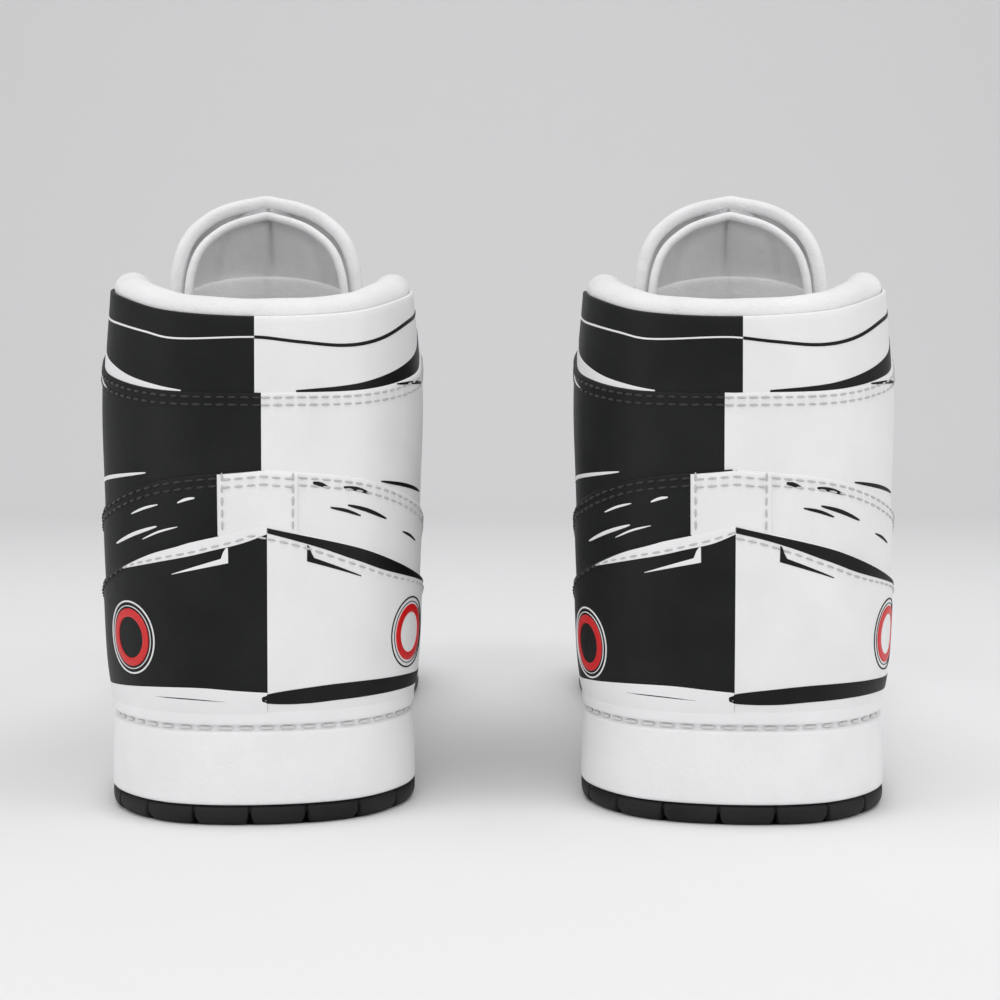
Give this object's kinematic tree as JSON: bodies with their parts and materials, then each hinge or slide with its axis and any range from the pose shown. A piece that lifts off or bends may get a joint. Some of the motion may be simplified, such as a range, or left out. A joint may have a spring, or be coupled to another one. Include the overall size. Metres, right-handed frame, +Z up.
{
  "type": "pair of high-top lace-up shoes",
  "caption": "Pair of ankle-high lace-up sports shoes standing side by side, with cup soles, a padded collar and a high padded tongue.",
  "frame": {"origin": "centre of the pair's footprint, on the floor", "axes": "+Z up, +Y from the heels towards the toes, +X from the left shoe towards the right shoe"},
  "size_m": [0.26, 0.2964, 0.168],
  "materials": {
    "white_leather": "satin coated white",
    "black_leather": "satin coated black",
    "white_rubber": "fine grained white rubber",
    "black_rubber": "matt black rubber",
    "foam": "soft foam",
    "board": "pressed fibre board",
    "stiffener": "plain sheet",
    "lining": "brushed knit over foam",
    "lace": "flat woven"
  },
  "bodies": {
    "left_shoe": {"left_ankle_panel": "white_leather", "left_backstay": "white_leather", "left_collar_foam": "foam", "left_collar_panel": "white_leather", "left_collar_roll": "lining", "left_cupsole": "white_rubber", "left_eyelet_facing_lateral": "stiffener", "left_eyelet_facing_medial": "stiffener", "left_eyestay": "white_leather", "left_footbed": "lining", "left_heel_counter": "black_leather", "left_heel_stiffener": "stiffener", "left_lace": "lace", "left_lasting_board": "board", "left_lining": "lining", "left_midsole_foam": "foam", "left_outsole": "black_rubber", "left_quarter_lateral": "black_leather", "left_quarter_medial": "white_leather", "left_toe_cap": "black_leather", "left_toe_puff": "stiffener", "left_tongue_base": "lining", "left_vamp": "white_leather"},
    "left_tongue": {"left_tongue_top": "lining"},
    "right_shoe": {"right_ankle_panel": "white_leather", "right_backstay": "white_leather", "right_collar_foam": "foam", "right_collar_panel": "white_leather", "right_collar_roll": "lining", "right_cupsole": "white_rubber", "right_eyelet_facing_lateral": "stiffener", "right_eyelet_facing_medial": "stiffener", "right_eyestay": "white_leather", "right_footbed": "lining", "right_heel_counter": "black_leather", "right_heel_stiffener": "stiffener", "right_lace": "lace", "right_lasting_board": "board", "right_lining": "lining", "right_midsole_foam": "foam", "right_outsole": "black_rubber", "right_quarter_lateral": "white_leather", "right_quarter_medial": "black_leather", "right_toe_cap": "black_leather", "right_toe_puff": "stiffener", "right_tongue_base": "lining", "right_vamp": "white_leather"},
    "right_tongue": {"right_tongue_top": "lining"}
  },
  "joints": [
    {"name": "pair_apart", "type": "slide", "parent": "left_shoe", "child": "right_shoe", "axis": [1, 0, 0], "range_m": [0, 0.15]},
    {"name": "left_tongue_flex", "type": "hinge", "parent": "left_shoe", "child": "left_tongue", "pos_m": [-0.07031, -0.04046, 0.139], "axis": [-0.9945, -0.1045, 0], "range_deg": [-7, 25], "stiffness_Nm_per_rad": 0.02},
    {"name": "right_tongue_flex", "type": "hinge", "parent": "right_shoe", "child": "right_tongue", "pos_m": [0.07031, -0.04046, 0.139], "axis": [-0.9945, 0.1045, 0], "range_deg": [-7, 25], "stiffness_Nm_per_rad": 0.02}
  ]
}
